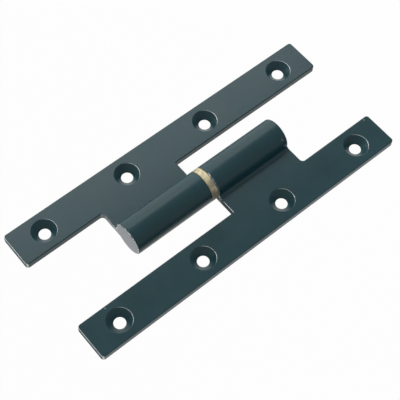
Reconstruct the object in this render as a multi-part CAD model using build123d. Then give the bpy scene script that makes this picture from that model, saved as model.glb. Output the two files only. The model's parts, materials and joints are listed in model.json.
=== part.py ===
from build123d import *
import os

# A lift-off hinge, open flat, in millimetres. The pin stands along +Z, the screw faces look
# towards -Y, the leaf with the pin lies at -X and the leaf that lifts off lies at +X.

# Leaf: a long strip for the screws, and a tab that carries the knuckle
leaf_length = 140.0
strip_width = 15.0
axis_to_strip = 15.0
leaf_thickness = 3.0
closed_gap = 3.0
corner_radius = 1.2
notch_radius = 1.5
rim_radius = 0.35

# Knuckle, rolled in one piece with the tab
knuckle_diameter = 13.5
knuckle_length = 34.5
knuckle_end_radius = 0.8
knuckle_face_bevel = 0.2
front_fillet = 1.2
back_fillet = 2.0

# Pin, pressed into one knuckle and running in the other
pin_diameter = 7.0
pin_pressed_length = 26.0
pin_running_length = 26.0
pin_tip_bevel = 1.2
pin_foot_bevel = 0.5
running_clearance = 0.05
socket_floor_clearance = 1.0
bore_mouth_bevel = 0.4

# Brass ring between the knuckles
ring_thickness = 2.8
ring_side_clearance = 0.1
ring_bevel = 0.25

# Countersunk screw holes
hole_count = 4
hole_pitch = 38.0
hole_diameter = 4.6
countersink_diameter = 9.8
countersink_angle = 90

knuckle_radius = knuckle_diameter / 2
pin_radius = pin_diameter / 2
running_bore_radius = pin_radius + running_clearance
back_face = leaf_thickness + closed_gap / 2
front_face = back_face - leaf_thickness
knuckle_start = ring_thickness / 2 + ring_side_clearance
knuckle_end = knuckle_start + knuckle_length
screw_line = axis_to_strip + strip_width / 2


def turned(profile):
    """Solid of revolution about the pin axis from (radius, height) corners."""
    with BuildPart() as part:
        with BuildSketch(Plane.XZ):
            with BuildLine():
                Polyline(*profile, close=True)
            make_face()
        revolve(axis=Axis.Z)
    return part.part


def flat_blank():
    """Strip and tab with rounded corners, a softened rim on the screw face and the screw holes."""
    tab_middle = (knuckle_start + knuckle_end) / 2
    with BuildPart() as blank:
        with BuildSketch(Plane.XZ.offset(-back_face)) as outline:
            with Locations((screw_line, 0)):
                Rectangle(strip_width, leaf_length)
            with Locations((axis_to_strip / 2, tab_middle)):
                Rectangle(axis_to_strip, knuckle_length)
            fillet([v for v in outline.vertices() if abs(v.Y) == leaf_length / 2], corner_radius)
            notch = outline.vertices().sort_by_distance((axis_to_strip, knuckle_end, 0))[0]
            fillet(notch, notch_radius)
        extrude(amount=leaf_thickness)
        screw_side = blank.faces().sort_by(Axis.Y)[0]
        rim = [e for e in screw_side.edges() if e.center().X > knuckle_radius]
        fillet(rim, rim_radius)
        with Locations(Plane.XZ.offset(-front_face)):
            with Locations((screw_line, 0)):
                with GridLocations(hole_pitch, hole_pitch, 1, hole_count):
                    CounterSinkHole(hole_diameter / 2, countersink_diameter / 2,
                                    counter_sink_angle=countersink_angle)
    return blank.part


def knuckle_root():
    """The flare between tab and knuckle: the tab's section with its two fillets, less the round."""
    with BuildPart() as root:
        with BuildSketch(Plane.XY.offset(knuckle_start)) as section:
            Circle(knuckle_radius)
            with Locations((axis_to_strip / 2, (front_face + back_face) / 2)):
                Rectangle(axis_to_strip, leaf_thickness)
            for height, radius in ((front_face, front_fillet), (back_face, back_fillet)):
                reach = (knuckle_radius ** 2 - height ** 2) ** 0.5
                meet = section.vertices().sort_by_distance((reach, height, 0))[0]
                fillet(meet, radius)
            Circle(knuckle_radius, mode=Mode.SUBTRACT)
        extrude(amount=knuckle_length)
    return root.part


def knuckle_barrel():
    with BuildPart() as barrel:
        with BuildSketch(Plane.XY.offset(knuckle_start)):
            Circle(knuckle_radius)
        extrude(amount=knuckle_length)
        fillet(barrel.edges().sort_by(Axis.Z)[-1], knuckle_end_radius)
        chamfer(barrel.edges().sort_by(Axis.Z)[0], knuckle_face_bevel)
    return barrel.part


def leaf(bore_radius, bore_depth):
    """One leaf at +X with its knuckle above the ring and a blind bore open towards the ring."""
    mouth = bore_radius + bore_mouth_bevel
    floor = knuckle_start + bore_depth
    bore = turned([(0, knuckle_start), (mouth, knuckle_start), (bore_radius, knuckle_start + bore_mouth_bevel),
                   (bore_radius, floor), (0, floor)])
    return flat_blank() + knuckle_root() + knuckle_barrel() - bore


def pin():
    foot = -knuckle_start - pin_pressed_length
    tip = knuckle_start + pin_running_length
    return turned([(0, foot), (pin_radius - pin_foot_bevel, foot), (pin_radius, foot + pin_foot_bevel),
                   (pin_radius, tip - pin_tip_bevel), (pin_radius - pin_tip_bevel, tip), (0, tip)])


def ring():
    inner, outer, half, b = running_bore_radius, knuckle_radius, ring_thickness / 2, ring_bevel
    return turned([(inner + b, -half), (outer - b, -half), (outer, b - half), (outer, half - b),
                   (outer - b, half), (inner + b, half), (inner, half - b), (inner, b - half)])


half_turn = Rotation(0, 180, 0)
parts = {
    "socket_leaf": leaf(running_bore_radius, pin_running_length + socket_floor_clearance),
    "pin_leaf": half_turn * leaf(pin_radius, pin_pressed_length),
    "hinge_pin": pin(),
    "brass_ring": ring(),
}

os.makedirs("parts", exist_ok=True)
for name, solid in parts.items():
    export_step(solid, f"parts/{name}.step")
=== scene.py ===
import bpy
import bmesh
import json
from math import cos, sin, pi, radians, sqrt, atan2
from mathutils import Matrix, Vector


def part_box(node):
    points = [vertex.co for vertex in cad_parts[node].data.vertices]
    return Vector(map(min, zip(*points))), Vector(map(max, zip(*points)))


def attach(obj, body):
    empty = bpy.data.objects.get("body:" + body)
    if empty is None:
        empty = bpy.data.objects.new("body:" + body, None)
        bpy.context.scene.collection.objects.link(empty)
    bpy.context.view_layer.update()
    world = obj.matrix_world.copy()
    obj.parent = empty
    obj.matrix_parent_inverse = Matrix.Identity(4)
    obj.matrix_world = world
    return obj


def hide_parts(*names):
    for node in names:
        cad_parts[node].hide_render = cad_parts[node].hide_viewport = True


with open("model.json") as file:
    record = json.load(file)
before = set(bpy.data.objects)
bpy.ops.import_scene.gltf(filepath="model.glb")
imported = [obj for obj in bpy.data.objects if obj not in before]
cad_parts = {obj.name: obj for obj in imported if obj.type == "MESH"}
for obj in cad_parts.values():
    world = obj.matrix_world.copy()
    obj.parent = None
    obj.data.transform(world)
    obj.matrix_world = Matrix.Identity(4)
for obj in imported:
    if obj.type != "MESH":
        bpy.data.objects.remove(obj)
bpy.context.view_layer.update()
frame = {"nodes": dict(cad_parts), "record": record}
print("frame loaded:", ", ".join(sorted(frame["nodes"])))

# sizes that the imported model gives, in metres
leafLow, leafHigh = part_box("socket_leaf")
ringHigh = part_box("brass_ring")[1]
pinLow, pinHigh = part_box("hinge_pin")
mounts = {mount["name"]: mount for mount in frame["record"]["mounts"]}
innerScrews = mounts["socket_leaf_inner_screws"]
screwLine, backFace = innerScrews["pos_m"][0], innerScrews["pos_m"][1]
holePitch = innerScrews["dims"]["spacing_y_mm"] / 1000
holeRadius = innerScrews["dims"]["hole_r_mm"] / 1000
leafLength = round(leafHigh.z - leafLow.z, 5)
leafReach = round(leafHigh.x, 5)
barrelRadius = round(leafHigh.y, 5)
ringHalf = round(ringHigh.z, 5)
pinRadius = round(pinHigh.x, 5)

# sizes that it doesn't give, but that the paint and the shapes share
plateThickness = 0.003
sinkRadius = 0.0049  # screw heads of 9.8 mm
knuckleLow = ringHalf + 0.0001  # running play beside the ring
knuckleHigh = ringHalf + 0.0346  # outer end of the knuckle and its tab
runningClearance = 0.00005

# how far a cutting shape stands out of what it cuts, and how far its rim passes the surface
cutterReach = 0.001
cutterSkin = 1e-6


def tidyMesh(bm, name):
    bmesh.ops.recalc_face_normals(bm, faces=bm.faces)
    mesh = bpy.data.meshes.new(name)
    bm.to_mesh(mesh)
    bm.free()
    piece = bpy.data.objects.new(name, mesh)
    bpy.context.scene.collection.objects.link(piece)
    return piece


def stackLoops(name, loops, places=8):
    # closed loops of equal count, joined by quads, with a flat cap at each end; rounded to 10 nm, so that
    # shapes which meet in a plane lie in exactly the same one
    bm = bmesh.new()
    rows = [[bm.verts.new([round(c, places) for c in p]) for p in loop] for loop in loops]
    for low, high in zip(rows, rows[1:]):
        for i in range(len(low)):
            j = (i + 1) % len(low)
            bm.faces.new((low[i], low[j], high[j], high[i]))
    bm.faces.new(rows[0])
    bm.faces.new(rows[-1])
    return tidyMesh(bm, name)


def lathe(name, profile, steps, closed=False):
    # profile of (radius, height) turned about Z; a point on the axis becomes one pole
    bm = bmesh.new()
    rows = []
    for r, z in profile:
        turns = [2 * pi * i / steps for i in range(steps)] if r > 0 else [0]
        rows.append([bm.verts.new((r * cos(a), r * sin(a), z)) for a in turns])
    pairs = list(zip(rows, rows[1:]))
    if closed:
        pairs.append((rows[-1], rows[0]))
    for low, high in pairs:
        for i in range(steps):
            j = (i + 1) % steps
            corners = [low[i % len(low)], low[j % len(low)], high[j % len(high)], high[i % len(high)]]
            corners = list(dict.fromkeys(corners))
            if len(corners) > 2:
                bm.faces.new(corners)
    return tidyMesh(bm, name)


def arc(centre, radius, start, end, steps):
    # points on an arc, angles in degrees
    turns = [radians(start + (end - start) * k / steps) for k in range(steps + 1)]
    return [(centre[0] + radius * cos(a), centre[1] + radius * sin(a)) for a in turns]


def bakeModifiers(piece):
    depsgraph = bpy.context.evaluated_depsgraph_get()
    made = bpy.data.meshes.new_from_object(piece.evaluated_get(depsgraph), depsgraph=depsgraph)
    piece.modifiers.clear()
    piece.data = made


def weldSeams(piece, reach=0.000001):
    # the union leaves hairline edges along its seams, shorter than anything that is drawn
    bm = bmesh.new()
    bm.from_mesh(piece.data)
    bmesh.ops.remove_doubles(bm, verts=bm.verts, dist=reach)
    bm.to_mesh(piece.data)
    bm.free()


def smoothPiece(piece, angle=32, largeFaces=90):
    # smooth shading that stops at sharp edges, with the large flat faces kept flat
    mesh = piece.data
    mesh.polygons.foreach_set("use_smooth", [True] * len(mesh.polygons))
    mesh.set_sharp_from_angle(angle=radians(angle))
    weighted = piece.modifiers.new("weighted", "WEIGHTED_NORMAL")
    weighted.keep_sharp = True
    weighted.weight = largeFaces
    bakeModifiers(piece)


def finishPiece(piece, body, node):
    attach(piece, body)
    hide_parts(node)
    print(piece.name, "rides", body, "with", len(piece.data.polygons), "faces")


def newNode(tree, kind, x, y, **values):
    # x and y are where the node lies in the editor
    node = tree.nodes.new(kind)
    node.location = (x, y)
    for key, value in values.items():
        setattr(node, key, value)
    return node


def setInput(tree, socket, value):
    # value is another node's output, a colour or a number
    if isinstance(value, bpy.types.NodeSocket):
        tree.links.new(value, socket)
    elif isinstance(value, tuple):
        socket.default_value = (*value, 1.0)
    else:
        socket.default_value = value


def mathNode(tree, operation, x, y, *inputs, clamp=False):
    node = newNode(tree, "ShaderNodeMath", x, y, operation=operation, use_clamp=clamp)
    for socket, value in zip(node.inputs, inputs):
        setInput(tree, socket, value)
    return node.outputs[0]


def noiseNode(tree, x, y, vector, scale, detail, roughness=0.55):
    node = newNode(tree, "ShaderNodeTexNoise", x, y)
    for name, value in (("Vector", vector), ("Scale", scale), ("Detail", detail), ("Roughness", roughness)):
        setInput(tree, node.inputs[name], value)
    return node.outputs["Fac"]


def rangeNode(tree, x, y, value, low, high, toLow=0.0, toHigh=1.0):
    node = newNode(tree, "ShaderNodeMapRange", x, y)
    names = ("Value", "From Min", "From Max", "To Min", "To Max")
    for name, number in zip(names, (value, low, high, toLow, toHigh)):
        setInput(tree, node.inputs[name], number)
    return node.outputs["Result"]


def mixColour(tree, x, y, factor, a, b):
    node = newNode(tree, "ShaderNodeMix", x, y, data_type="RGBA")
    colours = [s for s in node.inputs if s.type == "RGBA"]
    for socket, value in zip((node.inputs[0], *colours), (factor, a, b)):
        setInput(tree, socket, value)
    return next(s for s in node.outputs if s.type == "RGBA")


def bumpNode(tree, x, y, height, strength, distance, shader):
    node = newNode(tree, "ShaderNodeBump", x, y)
    for name, value in (("Height", height), ("Strength", strength), ("Distance", distance)):
        setInput(tree, node.inputs[name], value)
    tree.links.new(node.outputs[0], shader.inputs["Normal"])


def startMaterial(name):
    material = bpy.data.materials.new(name)
    material.use_nodes = True
    tree = material.node_tree
    shader = tree.nodes["Principled BSDF"]
    shader.location = (1300, 0)
    tree.nodes["Material Output"].location = (1600, 0)
    place = newNode(tree, "ShaderNodeTexCoord", -1800, 0).outputs["Object"]
    return material, tree, shader, place


def bandNode(tree, x, y, value, rising, falling):
    # full where value has passed the first range and hasn't left through the second
    rise = rangeNode(tree, x, y, value, *rising)
    fall = rangeNode(tree, x, y - 150, value, *falling)
    return mathNode(tree, "MULTIPLY", x + 200, y, rise, fall)


# black stoving paint on the leaves. The first two numbers of a range are where an effect starts and where it
# is full, and two more are what it starts from and what it reaches
paintLook = {
    "deep": (0.0060, 0.0310, 0.0395),
    "green": (0.0075, 0.0335, 0.0375),
    "greenWhere": (0.35, 0.65),
    "thinner": 1.35,
    "thinWhere": (0.35, 0.75, 0.0, 0.7),
    "cloud": (55.0, 4.0),  # scale and detail of each noise
    "drift": (170.0, 2.0),
    "grain": (1400.0, 2.0),
    "peel": (900.0, 2.0, 0.4),
    "shine": 0.20,
    "roughness": 0.22,
    "uneven": (-0.04, 0.05),
    "unevenWhere": (0.25, 0.75),
    "duller": {"sink": 0.06, "rolled": 0.12, "sawn": 0.42, "dust": 0.2, "bareAndHighlight": 0.12},
    "rolledRim": 0.0006,
    "sinkRim": 0.0001,
    "turningPitch": 0.00042,
    "turningHeight": 0.9,
    "dustHeight": 2.0,
    "relief": (0.5, 0.00002),  # strength and depth of the bump
}


def holeDistance(tree, place):
    # distance from the centre of the nearest screw hole, measured on the leaf
    split = newNode(tree, "ShaderNodeSeparateXYZ", -1500, -400)
    tree.links.new(place, split.inputs[0])
    x, _, z = split.outputs
    along = mathNode(tree, "FLOORED_MODULO", -1300, -400, z, holePitch)
    along = mathNode(tree, "SUBTRACT", -1150, -400, along, holePitch / 2)
    sideways = mathNode(tree, "ABSOLUTE", -1300, -550, x)
    across = mathNode(tree, "SUBTRACT", -1150, -550, sideways, screwLine)
    alongSquare = mathNode(tree, "MULTIPLY", -1000, -400, along, along)
    acrossSquare = mathNode(tree, "MULTIPLY", -1000, -550, across, across)
    squares = mathNode(tree, "ADD", -850, -450, alongSquare, acrossSquare)
    return mathNode(tree, "SQRT", -700, -450, squares), sideways, x, z


def facingUp(tree):
    # how far a surface looks up the pin, from -1 to 1
    facing = newNode(tree, "ShaderNodeTexCoord", -1500, -1300).outputs["Normal"]
    split = newNode(tree, "ShaderNodeSeparateXYZ", -1300, -1300)
    tree.links.new(facing, split.inputs[0])
    return split.outputs[2]


# where the paint is thin, cut, rubbed off or dusty, with painted highlights on the bare rims and on the spot
# under the ring, and a painted reflection on the faced ends; ...Facing is a range of what facingUp gives
wearAndPaintedLightLook = {
    "worn": (0.060, 0.085, 0.094),
    "dust": (0.30, 0.34, 0.35),
    "facedAndReflection": (0.28, 0.30, 0.325),
    "bareAndHighlight": (0.56, 0.58, 0.58),
    "dustShare": 0.5,
    "facedAndReflectionShare": 0.75,
    "metalShare": 0.8,
    "edgeReach": 0.00028,
    "edgeSamples": 6,
    "edgeTurn": (0.995, 0.90),
    "edgePatches": (0.42, 0.62, 0.25, 0.85),
    "cutFacing": (0.88, 0.96),
    "tabReach": 0.003,
    "barrelReach": 0.0085,
    "barrelFade": 0.002,
    "rimFacing": ((0.18, 0.42), (0.88, 0.78)),
    "rimLossAtTab": -0.7,
    "sinkLip": 0.00008,
    "endFacing": ((0.62, 0.76), (0.995, 0.97)),
    "endPatches": (0.44, 0.56),
    "besideRing": ((-0.0021, -0.0018), (0.0, -0.001)),
    "spot": -0.0006,
    "spotReach": (0.0009, 0.0003),
    "lineReach": (0.0002, -0.0008),
    "lineShare": 0.32,
    "rubbedAndHighlightPatches": (0.40, 0.60, 0.4, 1.0),
    "bareAndHighlightPatches": (0.30, 0.48, 0.45, 0.95),
    "dustCells": 190.0,
    "dustGrain": (0.075, 0.035),
    "dustEmpty": 0.92,
}


def edgeWear(tree, look, grain):
    # thinner paint along every edge, from a rounded normal against the true one
    rounded = newNode(tree, "ShaderNodeBevel", -1500, -800, samples=look["edgeSamples"])
    rounded.inputs["Radius"].default_value = look["edgeReach"]
    flat = newNode(tree, "ShaderNodeNewGeometry", -1500, -1000)
    turned = newNode(tree, "ShaderNodeVectorMath", -1300, -850, operation="DOT_PRODUCT")
    tree.links.new(rounded.outputs[0], turned.inputs[0])
    tree.links.new(flat.outputs["True Normal"], turned.inputs[1])
    edge = rangeNode(tree, -1100, -850, turned.outputs["Value"], *look["edgeTurn"])
    rub = rangeNode(tree, -1100, 250, grain, *look["edgePatches"])
    return mathNode(tree, "MULTIPLY", -900, -850, edge, rub, clamp=True)


def cutEnds(tree, look, up, sideways, z):
    # every cut end is sawn and rough, but the outer ends of the knuckles are faced and worn pale, the
    # paleness partly a painted reflection
    steep = rangeNode(tree, -600, -2300, mathNode(tree, "ABSOLUTE", -750, -2300, up), *look["cutFacing"])
    height = mathNode(tree, "ABSOLUTE", -900, -2450, z)
    above = mathNode(tree, "GREATER_THAN", -750, -2450, height, knuckleHigh - look["tabReach"])
    below = mathNode(tree, "LESS_THAN", -750, -2600, height, knuckleHigh + look["tabReach"])
    atTab = mathNode(tree, "MULTIPLY", -600, -2450, above, below)
    away = mathNode(tree, "SUBTRACT", -450, -2450, 1.0, atTab)
    sawn = mathNode(tree, "MULTIPLY", -300, -2300, steep, away)
    onBarrel = mathNode(tree, "LESS_THAN", -600, -2700, sideways, look["barrelReach"])
    steepAtTab = mathNode(tree, "MULTIPLY", -450, -2600, steep, atTab)
    facedAndReflection = mathNode(tree, "MULTIPLY", -300, -2600, steepAtTab, onBarrel)
    return sawn, facedAndReflection, atTab, onBarrel


def bareAndHighlitRims(tree, look, grain, fromHole, sideways, up, atTab, onBarrel):
    # metal showing where a rounded rim faces up the pin, worn bare and made lighter as a painted highlight
    # from that side: along the plates, and round the end of a barrel
    barrel = look["barrelReach"]
    offBarrel = rangeNode(tree, -750, -1900, sideways, barrel, barrel + look["barrelFade"])
    outside = mathNode(tree, "GREATER_THAN", -900, -2050, fromHole, sinkRadius - look["sinkLip"])
    less = mathNode(tree, "MULTIPLY_ADD", -600, -1200, atTab, look["rimLossAtTab"], 1.0)
    rim = bandNode(tree, -1100, -1300, up, *look["rimFacing"])
    for k, share in enumerate((offBarrel, outside, less)):
        rim = mathNode(tree, "MULTIPLY", 100 * k - 700, -1300, rim, share)
    end = bandNode(tree, -1100, -1600, up, *look["endFacing"])
    patches = rangeNode(tree, -800, -1750, grain, *look["endPatches"])
    for k, share in enumerate((onBarrel, patches)):
        end = mathNode(tree, "MULTIPLY", 100 * k - 700, -1600, end, share)
    return mathNode(tree, "ADD", -450, -1450, rim, end)


def rubbedAndHighlitBelowRing(tree, look, grain, x, z):
    # a bright spot and a faint line on the lower knuckle, just under the ring: rubbed metal that is also a
    # painted highlight
    beside = bandNode(tree, -800, -2100, z, *look["besideRing"])
    fromSpot = mathNode(tree, "SUBTRACT", -1050, -2250, x, look["spot"])
    fromSpot = mathNode(tree, "ABSOLUTE", -900, -2250, fromSpot)
    spot = rangeNode(tree, -750, -2250, fromSpot, *look["spotReach"])
    line = rangeNode(tree, -900, -2350, x, *look["lineReach"])
    line = mathNode(tree, "MULTIPLY", -750, -2350, line, look["lineShare"])
    worn = mathNode(tree, "MAXIMUM", -600, -2250, spot, line)
    patches = rangeNode(tree, -600, -2400, grain, *look["rubbedAndHighlightPatches"])
    worn = mathNode(tree, "MULTIPLY", -500, -2250, worn, patches)
    return mathNode(tree, "MULTIPLY", -450, -2100, beside, worn)


# worn metal on the up-facing rims and under the ring, which is also a painted highlight
def bareMetalAndHighlights(tree, look, grain, rimsAndHighlights, rubbedAndHighlight, onBarrel):
    rubbedAndHighlight = mathNode(tree, "MULTIPLY", -350, -2000, rubbedAndHighlight, onBarrel)
    both = mathNode(tree, "ADD", -350, -1450, rimsAndHighlights, rubbedAndHighlight, clamp=True)
    patches = rangeNode(tree, -350, -1600, grain, *look["bareAndHighlightPatches"])
    return mathNode(tree, "MULTIPLY", -200, -1450, both, patches)


def dustSpecks(tree, look, place):
    # one small grain in some of the cells
    cells = newNode(tree, "ShaderNodeTexVoronoi", -1300, 800, feature="F1", distance="EUCLIDEAN")
    setInput(tree, cells.inputs["Scale"], look["dustCells"])
    setInput(tree, cells.inputs["Vector"], place)
    dot = rangeNode(tree, -1100, 800, cells.outputs["Distance"], *look["dustGrain"])
    chosen = newNode(tree, "ShaderNodeSeparateColor", -1100, 1000)
    tree.links.new(cells.outputs["Color"], chosen.inputs[0])
    rare = mathNode(tree, "GREATER_THAN", -900, 1000, chosen.outputs[0], look["dustEmpty"])
    return mathNode(tree, "MULTIPLY", -750, 850, dot, rare)


def paintColour(tree, look, wearAndPaintedLight, cloud, drift, edges, speck, facedAndReflection, bareAndHighlight):
    # a dark blue-green film, a little uneven, with dust, pale faced ends and bare places over it; the pale
    # ends are partly a painted reflection and the bare places partly a painted highlight
    green = rangeNode(tree, -1100, 350, drift, *look["greenWhere"])
    colour = mixColour(tree, -900, 500, green, look["deep"], look["green"])
    thin = rangeNode(tree, -1100, 500, cloud, *look["thinWhere"])
    colour = mixColour(tree, -700, 500, thin, colour, tuple(c * look["thinner"] for c in look["deep"]))
    dusty = mathNode(tree, "MULTIPLY", -500, 800, speck, wearAndPaintedLight["dustShare"])
    pale = rangeNode(tree, -500, 950, facedAndReflection, 0.0, 1.0, 0.0, wearAndPaintedLight["facedAndReflectionShare"])
    layers = {"worn": edges, "dust": dusty, "facedAndReflection": pale, "bareAndHighlight": bareAndHighlight}
    for k, (name, share) in enumerate(layers.items()):
        colour = mixColour(tree, 200 * k - 400, 400, share, colour, wearAndPaintedLight[name])
    return colour


def paintRoughness(tree, look, cloud, places):
    # satin, with something added in each of the places named in "duller"
    low, high = [look["roughness"] + change for change in look["uneven"]]
    satin = rangeNode(tree, -600, 0, cloud, *look["unevenWhere"], low, high)
    for k, (name, place) in enumerate(places.items()):
        satin = mathNode(tree, "MULTIPLY_ADD", 150 * k - 400, 0, place, look["duller"][name], satin)
    return satin


def paintHeight(tree, look, place, fromHole, inSink, speck):
    # orange peel, grains, and the cutter's rings under the paint in each countersink
    peel = noiseNode(tree, -500, -900, place, *look["peel"])
    turn = mathNode(tree, "MULTIPLY", -500, -650, fromHole, 2 * pi / look["turningPitch"])
    rings = mathNode(tree, "MULTIPLY", -200, -600, mathNode(tree, "SINE", -350, -650, turn), inSink)
    height = mathNode(tree, "MULTIPLY_ADD", 0, -600, rings, look["turningHeight"], peel)
    return mathNode(tree, "MULTIPLY_ADD", 150, -600, speck, look["dustHeight"], height)


def makePaint(look, wearAndPaintedLight):
    material, tree, shader, place = startMaterial("blackStovingPaint")
    fromHole, sideways, x, z = holeDistance(tree, place)
    up = facingUp(tree)
    inSink = rangeNode(tree, -500, -450, fromHole, sinkRadius, sinkRadius - look["sinkRim"])
    rolled = rangeNode(tree, -500, -200, sideways, barrelRadius, barrelRadius - look["rolledRim"])
    cloud = noiseNode(tree, -1300, 500, place, *look["cloud"])
    drift = noiseNode(tree, -1300, 350, place, *look["drift"])
    grain = noiseNode(tree, -1300, 200, place, *look["grain"])
    speck = dustSpecks(tree, wearAndPaintedLight, place)
    edges = edgeWear(tree, wearAndPaintedLight, grain)
    sawn, facedAndReflection, atTab, onBarrel = cutEnds(tree, wearAndPaintedLight, up, sideways, z)
    # the bare rims facing up the pin and the spot under the ring are painted highlights as well as wear
    rimsAndHighlights = bareAndHighlitRims(tree, wearAndPaintedLight, grain, fromHole, sideways, up, atTab, onBarrel)
    bareAndHighlight = bareMetalAndHighlights(tree, wearAndPaintedLight, grain, rimsAndHighlights, rubbedAndHighlitBelowRing(tree, wearAndPaintedLight, grain, x, z), onBarrel)
    colour = paintColour(tree, look, wearAndPaintedLight, cloud, drift, edges, speck, facedAndReflection, bareAndHighlight)
    duller = {"sink": inSink, "rolled": rolled, "sawn": sawn, "dust": speck, "bareAndHighlight": bareAndHighlight}
    height = paintHeight(tree, look, place, fromHole, inSink, speck)
    setInput(tree, shader.inputs["Base Color"], colour)
    setInput(tree, shader.inputs["Metallic"], mathNode(tree, "MULTIPLY", 400, 200, bareAndHighlight, wearAndPaintedLight["metalShare"]))
    setInput(tree, shader.inputs["Roughness"], paintRoughness(tree, look, cloud, duller))
    shader.inputs["Specular IOR Level"].default_value = look["shine"]
    bumpNode(tree, 900, -500, height, *look["relief"], shader)
    return material


def turnedLines(tree, place, squeeze, scale, detail, roughness):
    # a noise drawn out round the axis gives turning or grinding lines
    squash = newNode(tree, "ShaderNodeMapping", -1500, -300)
    squash.inputs["Scale"].default_value = (squeeze, squeeze, 1.0)
    tree.links.new(place, squash.inputs["Vector"])
    return noiseNode(tree, -1300, -300, squash.outputs[0], scale, detail, roughness)


def finishMetal(tree, look, shader, colour, lines, film):
    # bare metal all over, duller along its lines and under its film of stain or grease
    low, high = [look["roughness"] + change for change in look["uneven"]]
    gloss = rangeNode(tree, -700, -50, lines, *look["unevenWhere"], low, high)
    gloss = mathNode(tree, "MULTIPLY_ADD", -400, -50, film, look["filmDuller"], gloss)
    setInput(tree, shader.inputs["Base Color"], colour)
    shader.inputs["Metallic"].default_value = 1.0
    setInput(tree, shader.inputs["Roughness"], gloss)
    bumpNode(tree, 300, -400, lines, *look["relief"], shader)


# turned brass ring, dulled and stained, with painted shade darkening it towards one side
brassLook = {
    "bright": (0.45, 0.402, 0.262),
    "dull": (0.245, 0.225, 0.172),
    "stain": (330.0, 4.0, 0.65),
    "stainAndShadeWhere": (0.42, 0.60),
    "paintedShadeSide": (-0.0004, -0.0036, -0.06, 0.08),
    "lines": (0.02, 5200.0, 3.0, 0.6),
    "lineWhere": (0.35, 0.75, 0.0, 0.35),
    "roughness": 0.58,
    "uneven": (-0.06, 0.10),
    "unevenWhere": (0.2, 0.8),
    "filmDuller": 0.12,
    "relief": (0.4, 0.00001),
}


def makeBrass(look):
    material, tree, shader, place = startMaterial("turnedBrass")
    lines = turnedLines(tree, place, *look["lines"])
    side = newNode(tree, "ShaderNodeSeparateXYZ", -1500, 400)
    tree.links.new(place, side.inputs[0])
    # painted shade: towards one side the brass turns to its dull colour, added to the random stain
    paintedShadeSide = rangeNode(tree, -1300, 400, side.outputs[0], *look["paintedShadeSide"])
    stain = noiseNode(tree, -1300, 200, place, *look["stain"])
    stain = mathNode(tree, "ADD", -1150, 200, stain, paintedShadeSide)
    stainedAndShaded = rangeNode(tree, -1000, 200, stain, *look["stainAndShadeWhere"])
    tint = mixColour(tree, -700, 200, stainedAndShaded, look["bright"], look["dull"])
    fine = rangeNode(tree, -1000, -50, lines, *look["lineWhere"])
    tint = mixColour(tree, -400, 200, fine, tint, look["dull"])
    finishMetal(tree, look, shader, tint, lines, stain)
    return material


# ground steel pin, slightly greasy
steelLook = {
    "bright": (0.52, 0.52, 0.53),
    "dull": (0.30, 0.29, 0.27),
    "grease": (180.0, 3.0, 0.5),
    "greaseWhere": (0.48, 0.72, 0.0, 0.6),
    "lines": (0.03, 3600.0, 3.0, 0.6),
    "roughness": 0.27,
    "uneven": (-0.05, 0.10),
    "unevenWhere": (0.2, 0.8),
    "filmDuller": 0.12,
    "relief": (0.35, 0.00001),
}


def makeSteel(look):
    material, tree, shader, place = startMaterial("groundSteel")
    lines = turnedLines(tree, place, *look["lines"])
    grease = noiseNode(tree, -1300, 200, place, *look["grease"])
    film = rangeNode(tree, -1000, 200, grease, *look["greaseWhere"])
    tint = mixColour(tree, -700, 200, film, look["bright"], look["dull"])
    finishMetal(tree, look, shader, tint, lines, grease)
    return material


paint = makePaint(paintLook, wearAndPaintedLightLook)
brass = makeBrass(brassLook)
steel = makeSteel(steelLook)
print("paint, brass and steel ready")


# plate of a leaf: a strip for the screws and a tab towards the knuckle
plateSizes = {
    "length": leafLength,
    "outer": leafReach,
    "inner": 2 * screwLine - leafReach,
    "front": backFace - plateThickness,
    "back": backFace,
    "tabLow": knuckleLow,
    "tabHigh": knuckleHigh,
    "tabInner": 0.0082,
    "corner": 0.0012,
    "notch": 0.0015,
    "innerCorner": 0.0002,
    "hidden": 0.0005,
    "frontRim": 0.00035,
    "backRim": 0.0002,
    "cornerSteps": 8,
    "rimSteps": 5,
}


def plateOutline(sizes, inset):
    # corners of the leaf seen from the front, counter-clockwise, with the corner radius of each
    inner, outer, half = sizes["inner"], sizes["outer"], sizes["length"] / 2
    corners = [
        (sizes["tabInner"], sizes["tabLow"], sizes["hidden"]),
        (inner, sizes["tabLow"], sizes["innerCorner"]),
        (inner, -half, sizes["corner"]),
        (outer, -half, sizes["corner"]),
        (outer, half, sizes["corner"]),
        (inner, half, sizes["corner"]),
        (inner, sizes["tabHigh"], sizes["notch"]),
        (sizes["tabInner"], sizes["tabHigh"], sizes["hidden"]),
    ]
    points = []
    for i, (x, z, radius) in enumerate(corners):
        before, after = corners[i - 1], corners[(i + 1) % len(corners)]
        inward = Vector((x - before[0], z - before[1])).normalized()
        outward = Vector((after[0] - x, after[1] - z)).normalized()
        left, nextLeft = Vector((-inward.y, inward.x)), Vector((-outward.y, outward.x))
        side = 1 if inward.cross(outward) > 0 else -1
        r = radius - side * inset
        corner = Vector((x, z)) + inset * (left + nextLeft)
        centre = corner - inward * r + side * left * r
        for k in range(sizes["cornerSteps"] + 1):
            a = pi / 2 * k / sizes["cornerSteps"]
            points.append(centre - side * left * r * cos(a) + inward * r * sin(a))
    return points


def makePlate(sizes):
    levels = []
    turns = [pi / 2 * k / sizes["rimSteps"] for k in range(sizes["rimSteps"] + 1)]
    for a in turns:
        levels.append((sizes["frontRim"] * (1 - sin(a)), sizes["front"] + sizes["frontRim"] * (1 - cos(a))))
    for a in reversed(turns):
        levels.append((sizes["backRim"] * (1 - sin(a)), sizes["back"] - sizes["backRim"] * (1 - cos(a))))
    return stackLoops("plate", [[(p.x, y, p.y) for p in plateOutline(sizes, inset)] for inset, y in levels])


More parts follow.
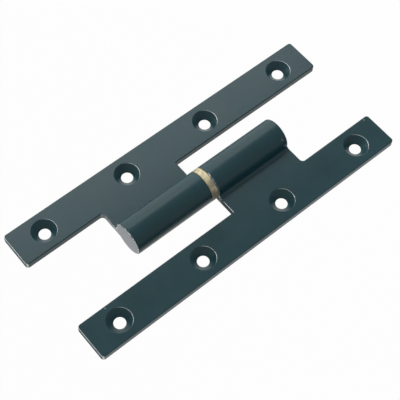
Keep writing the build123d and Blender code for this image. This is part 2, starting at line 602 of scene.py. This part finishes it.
# knuckle with its flared root, one section carried along the pin
knuckleSizes = {
    "radius": barrelRadius,
    "frontFillet": 0.0012,
    "backFillet": 0.002,
    "endRound": 0.0008,
    "faceRound": 0.0002,
    "stub": 0.0092,
    "barrelSteps": 120,
    "filletSteps": 10,
    "roundSteps": 7,
}


def knuckleSection(sizes, plate):
    # point, inward normal, end rounding and face rounding, round the barrel, the fillets and a short stub
    radius, front, back = sizes["radius"], plate["front"], plate["back"]
    rf, rb = sizes["frontFillet"], sizes["backFillet"]
    frontCentre = Vector((sqrt((radius + rf) ** 2 - (front - rf) ** 2), front - rf))
    backCentre = Vector((sqrt((radius + rb) ** 2 - (back + rb) ** 2), back + rb))
    frontAngle, backAngle = atan2(frontCentre.y, frontCentre.x), atan2(backCentre.y, backCentre.x)
    section = []
    for k in range(sizes["barrelSteps"] + 1):
        a = backAngle + (2 * pi + frontAngle - backAngle) * k / sizes["barrelSteps"]
        out = Vector((cos(a), sin(a)))
        section.append((out * radius, -out, sizes["endRound"], sizes["faceRound"]))
    for k in range(1, sizes["filletSteps"] + 1):
        share = k / sizes["filletSteps"]
        a = pi + frontAngle + (pi / 2 - pi - frontAngle) * share
        out = Vector((cos(a), sin(a)))
        end = sizes["endRound"] + (plate["frontRim"] - sizes["endRound"]) * share
        face = sizes["faceRound"] + (plate["frontRim"] - sizes["faceRound"]) * share
        section.append((frontCentre + out * rf, out, end, face))
    section.append((Vector((sizes["stub"], front)), Vector((-1, 1)), plate["frontRim"], plate["frontRim"]))
    section.append((Vector((sizes["stub"], back)), Vector((-1, -1)), plate["backRim"], plate["backRim"]))
    for k in range(0, sizes["filletSteps"]):
        share = k / sizes["filletSteps"]
        a = -pi / 2 + (backAngle - pi + pi / 2) * share
        out = Vector((cos(a), sin(a)))
        end = plate["backRim"] + (sizes["endRound"] - plate["backRim"]) * share
        section.append((backCentre + out * rb, out, end, plate["backRim"]))
    return section


def makeKnuckle(sizes, plate):
    section = knuckleSection(sizes, plate)
    turns = [pi / 2 * k / sizes["roundSteps"] for k in range(sizes["roundSteps"] + 1)]
    loops = []
    for a in turns:
        rise, pull = 1 - cos(a), 1 - sin(a)
        loops.append([(*(p + n * face * pull), plate["tabLow"] + face * rise) for p, n, end, face in section])
    for a in reversed(turns):
        rise, pull = 1 - cos(a), 1 - sin(a)
        loops.append([(*(p + n * end * pull), plate["tabHigh"] - end * rise) for p, n, end, face in section])
    return stackLoops("knuckle", loops)


# countersunk screw hole: the shape that drill and countersink take away. The curves are points, out and in,
# as shares of the throat's rounding
holeSizes = {
    "count": 4,
    "pitch": holePitch,
    "line": screwLine,
    "radius": holeRadius,
    "sinkRadius": sinkRadius,
    "slope": 45,
    "lip": 0.00026,
    "lipBend": 1.08,
    "lipStart": 0.45,
    "lipSteps": 5,
    "throat": 0.00014,
    "throatCurve": ((1, -1), (0.25, 0.1), (0, 0.9)),
    "backCurve": ((0, -1), (0.35, -0.3)),
    "steps": 72,
}


def makeHoleCutter(sizes, plate):
    # heights count from the front face into the leaf
    depth, radius, t = plate["back"] - plate["front"], sizes["radius"], sizes["throat"]
    sink = sizes["sinkRadius"] - radius
    bend, start = sizes["lip"] * sizes["lipBend"], sizes["sinkRadius"] + sizes["lip"] * sizes["lipStart"]
    turns = [radians(sizes["slope"] * k / sizes["lipSteps"]) for k in range(1, sizes["lipSteps"] + 1)]
    profile = [(0, -cutterReach), (start, -cutterReach), (start, -cutterSkin)]
    profile += [(start - bend * sin(a), bend * (1 - cos(a))) for a in turns]
    profile += [(radius + t * out, sink + t * into) for out, into in sizes["throatCurve"]]
    profile += [(radius + t * out, depth + t * into) for out, into in sizes["backCurve"]]
    profile += [(radius + t, depth + cutterSkin), (radius + t, depth + cutterReach), (0, depth + cutterReach)]
    cutter = lathe("holeCutter", profile, sizes["steps"])
    cutter.data.transform(Matrix.Translation((0, plate["front"], 0)) @ Matrix.Rotation(radians(-90), 4, "X"))
    return cutter


# blind bore in each knuckle, with its radius and depth: a running fit above, a press fit below
boreSizes = {
    "above": (pinRadius + runningClearance, 0.027),
    "below": (pinRadius, 0.026),
    "mouth": 0.0004,
    "mouthOut": 0.00005,
    "mouthIn": 0.00002,
    "floorCorner": 0.0003,
    "steps": 96,
}


def makeBore(sizes, plate, knuckle):
    low, mouth, corner = plate["tabLow"], sizes["mouth"], sizes["floorCorner"]
    radius, depth = sizes[knuckle]
    wide = radius + mouth + sizes["mouthOut"]
    profile = [(0, low - cutterReach), (wide, low - cutterReach), (wide, low - cutterSkin)]
    profile += [(radius + mouth, low + sizes["mouthIn"]), (radius, low + mouth)]
    profile += [(radius, low + depth - corner), (radius - corner, low + depth), (0, low + depth)]
    return lathe("bore", profile, sizes["steps"])


def leafInputs(tree):
    # named inputs, with the identifier that a modifier knows each by
    face = tree.interface
    face.new_socket("Geometry", in_out="INPUT", socket_type="NodeSocketGeometry")
    wanted = {"Knuckle": "Object", "Bore": "Object", "Hole Cutter": "Object", "Hole Count": "Int",
              "Hole Pitch": "Float", "Screw Line": "Float", "Finish": "Material"}
    sockets = {}
    for name, kind in wanted.items():
        socket = face.new_socket(name, in_out="INPUT", socket_type="NodeSocket" + kind)
        sockets[name] = socket.identifier
    face.new_socket("Geometry", in_out="OUTPUT", socket_type="NodeSocketGeometry")
    return sockets


def objectShape(tree, x, y, chosen):
    info = newNode(tree, "GeometryNodeObjectInfo", x, y)
    setInput(tree, info.inputs["Object"], chosen)
    return info.outputs["Geometry"]


def holeRow(tree, given, cutter):
    # a cutter for each screw hole, in a line about the middle of the leaf
    gaps = mathNode(tree, "SUBTRACT", -1300, -900, given["Hole Count"], 1)
    reach = mathNode(tree, "MULTIPLY", -1200, -1000, gaps, given["Hole Pitch"])
    start = newNode(tree, "ShaderNodeCombineXYZ", -900, -900)
    setInput(tree, start.inputs["X"], given["Screw Line"])
    setInput(tree, start.inputs["Z"], mathNode(tree, "MULTIPLY", -1050, -1000, reach, -0.5))
    step = newNode(tree, "ShaderNodeCombineXYZ", -900, -1100)
    setInput(tree, step.inputs["Z"], given["Hole Pitch"])
    line = newNode(tree, "GeometryNodeMeshLine", -700, -900, mode="OFFSET")
    setInput(tree, line.inputs["Count"], given["Hole Count"])
    setInput(tree, line.inputs["Start Location"], start.outputs[0])
    setInput(tree, line.inputs["Offset"], step.outputs[0])
    row = newNode(tree, "GeometryNodeInstanceOnPoints", -500, -700)
    setInput(tree, row.inputs["Points"], line.outputs["Mesh"])
    setInput(tree, row.inputs["Instance"], cutter)
    cutters = newNode(tree, "GeometryNodeRealizeInstances", -300, -700)
    setInput(tree, cutters.inputs[0], row.outputs[0])
    return cutters.outputs[0]


def leafTree():
    # joins plate and knuckle, then cuts the bore and the row of screw holes
    tree = bpy.data.node_groups.new("leafWithHoles", "GeometryNodeTree")
    sockets = leafInputs(tree)
    given = newNode(tree, "NodeGroupInput", -1500, 0).outputs
    knuckle, bore, cutter = [objectShape(tree, -900, -200 * k - 200, given[name])
                             for k, name in enumerate(("Knuckle", "Bore", "Hole Cutter"))]
    union = newNode(tree, "GeometryNodeMeshBoolean", -500, 100, operation="UNION", solver="EXACT")
    for shape in (given["Geometry"], knuckle):
        setInput(tree, union.inputs["Mesh 2"], shape)
    cut = newNode(tree, "GeometryNodeMeshBoolean", -100, 0, operation="DIFFERENCE", solver="EXACT")
    setInput(tree, cut.inputs["Mesh 1"], union.outputs["Mesh"])
    for shape in (holeRow(tree, given, cutter), bore):
        setInput(tree, cut.inputs["Mesh 2"], shape)
    real = newNode(tree, "GeometryNodeRealizeInstances", 150, 0)
    setInput(tree, real.inputs[0], cut.outputs["Mesh"])
    finish = newNode(tree, "GeometryNodeSetMaterial", 350, 0)
    setInput(tree, finish.inputs["Geometry"], real.outputs[0])
    setInput(tree, finish.inputs["Material"], given["Finish"])
    setInput(tree, newNode(tree, "NodeGroupOutput", 550, 0).inputs[0], finish.outputs[0])
    return tree, sockets


holeCutter = makeHoleCutter(holeSizes, plateSizes)
leafGroup, leafSockets = leafTree()


def makeLeaf(name, bore, turned):
    leaf = makePlate(plateSizes)
    knuckle = makeKnuckle(knuckleSizes, plateSizes)
    leaf.name = name
    cutting = leaf.modifiers.new("leafWithHoles", "NODES")
    cutting.node_group = leafGroup
    values = {"Knuckle": knuckle, "Bore": bore, "Hole Cutter": holeCutter, "Hole Count": holeSizes["count"],
              "Hole Pitch": holeSizes["pitch"], "Screw Line": holeSizes["line"], "Finish": paint}
    for socket, value in values.items():
        cutting[leafSockets[socket]] = value
    bpy.context.view_layer.update()
    bakeModifiers(leaf)
    weldSeams(leaf)
    bpy.data.objects.remove(knuckle)
    bpy.data.objects.remove(bore)
    if turned:
        leaf.data.transform(Matrix.Rotation(pi, 4, "Y"))
    smoothPiece(leaf)
    return leaf


runningBore = makeBore(boreSizes, plateSizes, "above")
pressedBore = makeBore(boreSizes, plateSizes, "below")
looseLeaf = makeLeaf("painted_loose_leaf", runningBore, turned=False)
fixedLeaf = makeLeaf("painted_fixed_leaf", pressedBore, turned=True)
bpy.data.objects.remove(holeCutter)
finishPiece(looseLeaf, "loose_leaf", "socket_leaf")
finishPiece(fixedLeaf, "fixed_leaf", "pin_leaf")


# brass ring, turned with rounded edges
ringSizes = {
    "inner": pinRadius + runningClearance,
    "outer": round(ringHigh.x, 5),
    "half": ringHalf,
    "round": 0.00025,
    "roundSteps": 5,
    "steps": 160,
}


def makeRing(sizes):
    b = sizes["round"]
    inner, outer, top = sizes["inner"] + b, sizes["outer"] - b, sizes["half"] - b
    profile = []
    for centre, start in (((outer, top), 0), ((inner, top), 90), ((inner, -top), 180), ((outer, -top), 270)):
        profile += arc(centre, b, start, start + 90, sizes["roundSteps"])
    ring = lathe("turned_ring", profile, sizes["steps"], closed=True)
    ring.data.materials.append(brass)
    smoothPiece(ring)
    return ring


finishPiece(makeRing(ringSizes), "ring", "brass_ring")


# steel pin, pressed in below and running in the upper knuckle. The curves are points, in and up, as shares
# of the bevel or rounding with their name
pinSizes = {
    "radius": pinRadius,
    "foot": round(pinLow.z, 5),
    "tip": round(pinHigh.z, 5),
    "footBevel": 0.0005,
    "footCurve": ((1, 0), (0.4, 0.25), (0, 1)),
    "soft": 0.00035,
    "softCurve": ((0, -1), (0.12, 0), (0.5, 0.7)),
    "tipBevel": 0.0012,
    "tipCurve": ((0.8, -0.28), (0.95, -0.12), (1.2, 0)),
    "steps": 96,
}


def makePin(sizes):
    radius, foot, tip = sizes["radius"], sizes["foot"], sizes["tip"]
    bends = (
        (sizes["footCurve"], sizes["footBevel"], foot),
        (sizes["softCurve"], sizes["soft"], tip - sizes["tipBevel"]),
        (sizes["tipCurve"], sizes["tipBevel"], tip),
    )
    profile = [(0, foot)]
    for curve, size, height in bends:
        profile += [(radius - size * into, height + size * up) for into, up in curve]
    profile.append((0, tip))
    pin = lathe("ground_pin", profile, sizes["steps"])
    pin.data.materials.append(steel)
    smoothPiece(pin)
    return pin


finishPiece(makePin(pinSizes), "fixed_leaf", "hinge_pin")


# studio floor well below the hinge, which is held by its screws: white to the camera, but keeping its shadow
floorLook = {
    "height": -0.5,
    "reach": 8.0,
    "colour": (0.86, 0.87, 0.87),
    "roughness": 0.9,
    "shadowShare": 0.03,
}


def seenDirectly(tree, x, y):
    # 1 for what the camera sees, straight or in metal or glass
    path = newNode(tree, "ShaderNodeLightPath", x, y)
    seen = mathNode(tree, "MAXIMUM", x + 200, y, path.outputs["Is Camera Ray"], path.outputs["Is Glossy Ray"])
    return mathNode(tree, "MAXIMUM", x + 350, y, seen, path.outputs["Is Transmission Ray"])


def makeFloor(look):
    s, h = look["reach"], look["height"]
    mesh = bpy.data.meshes.new("floor")
    mesh.from_pydata([(-s, -s, h), (s, -s, h), (s, s, h), (-s, s, h)], [], [(0, 1, 2, 3)])
    floor = bpy.data.objects.new("floor", mesh)
    bpy.context.scene.collection.objects.link(floor)
    material = bpy.data.materials.new("paleFloor")
    material.use_nodes = True
    tree = material.node_tree
    matte = tree.nodes["Principled BSDF"]
    matte.inputs["Base Color"].default_value = (*look["colour"], 1)
    matte.inputs["Roughness"].default_value = look["roughness"]
    matte.inputs["Specular IOR Level"].default_value = 0.0
    white = newNode(tree, "ShaderNodeEmission", 0, -300)
    share = mathNode(tree, "MULTIPLY", 0, 200, seenDirectly(tree, -600, 200), 1 - look["shadowShare"])
    mix = newNode(tree, "ShaderNodeMixShader", 300, 0)
    tree.links.new(share, mix.inputs[0])
    tree.links.new(matte.outputs[0], mix.inputs[1])
    tree.links.new(white.outputs[0], mix.inputs[2])
    tree.links.new(mix.outputs[0], tree.nodes["Material Output"].inputs["Surface"])
    mesh.materials.append(material)


makeFloor(floorLook)


# soft studio light: an even world, a narrow panel in front, two at the side and a weak one behind, each
# with its place, the height on the pin that it looks at, its size and its power
lampLook = {
    "world": 0.54,
    "white": 1.0,
    "panels": {
        "keyPanel": ((0.3135, -0.5116, -0.05), -0.05, (0.137, 0.80), 1.52),
        "sidePanel": ((0.448, -0.319, -0.05), -0.05, (0.347, 0.80), 1.94),
        "farPanel": ((0.550, 0.005, -0.05), -0.05, (0.347, 0.80), 0.85),
        "backPanel": ((0.45, 0.55, 0.20), 0, (0.60, 0.50), 0.25),
    },
}


def makeLight(look):
    world = bpy.data.worlds.new("studio")
    bpy.context.scene.world = world
    world.use_nodes = True
    tree = world.node_tree
    ground = tree.nodes["Background"]
    ground.inputs["Color"].default_value = (1, 1, 1, 1)
    level = rangeNode(tree, -200, 0, seenDirectly(tree, -700, 0), 0.0, 1.0, look["world"], look["white"])
    tree.links.new(level, ground.inputs["Strength"])
    for name, (place, aim, size, power) in look["panels"].items():
        data = bpy.data.lights.new(name, "AREA")
        data.shape = "RECTANGLE"
        data.size, data.size_y = size
        data.energy = power
        lamp = bpy.data.objects.new(name, data)
        bpy.context.scene.collection.objects.link(lamp)
        lamp.location = place
        lamp.visible_camera = False
        towards = Vector((0, 0, aim)) - Vector(place)
        lamp.rotation_euler = towards.to_track_quat("-Z", "Y").to_euler()


makeLight(lampLook)


# the photograph's own viewing angle
cameraLook = {
    "place": (-0.144787, -0.341247, 0.130931),
    "turn": (-59.6469, 50.3823, -178.1468),
    "lens": 95.0652,
    "sensor": 36,
    "sight": (0.01, 20),
}


def makeCamera(look):
    data = bpy.data.cameras.new("camera")
    data.sensor_fit = "AUTO"
    data.sensor_width = look["sensor"]
    data.lens = look["lens"]
    data.clip_start, data.clip_end = look["sight"]
    camera = bpy.data.objects.new("camera", data)
    bpy.context.scene.collection.objects.link(camera)
    camera.location = look["place"]
    camera.rotation_euler = [radians(a) for a in look["turn"]]
    bpy.context.scene.camera = camera


makeCamera(cameraLook)
bpy.context.scene.view_settings.view_transform = "Standard"
print("light, floor and camera ready")

bpy.context.view_layer.update()
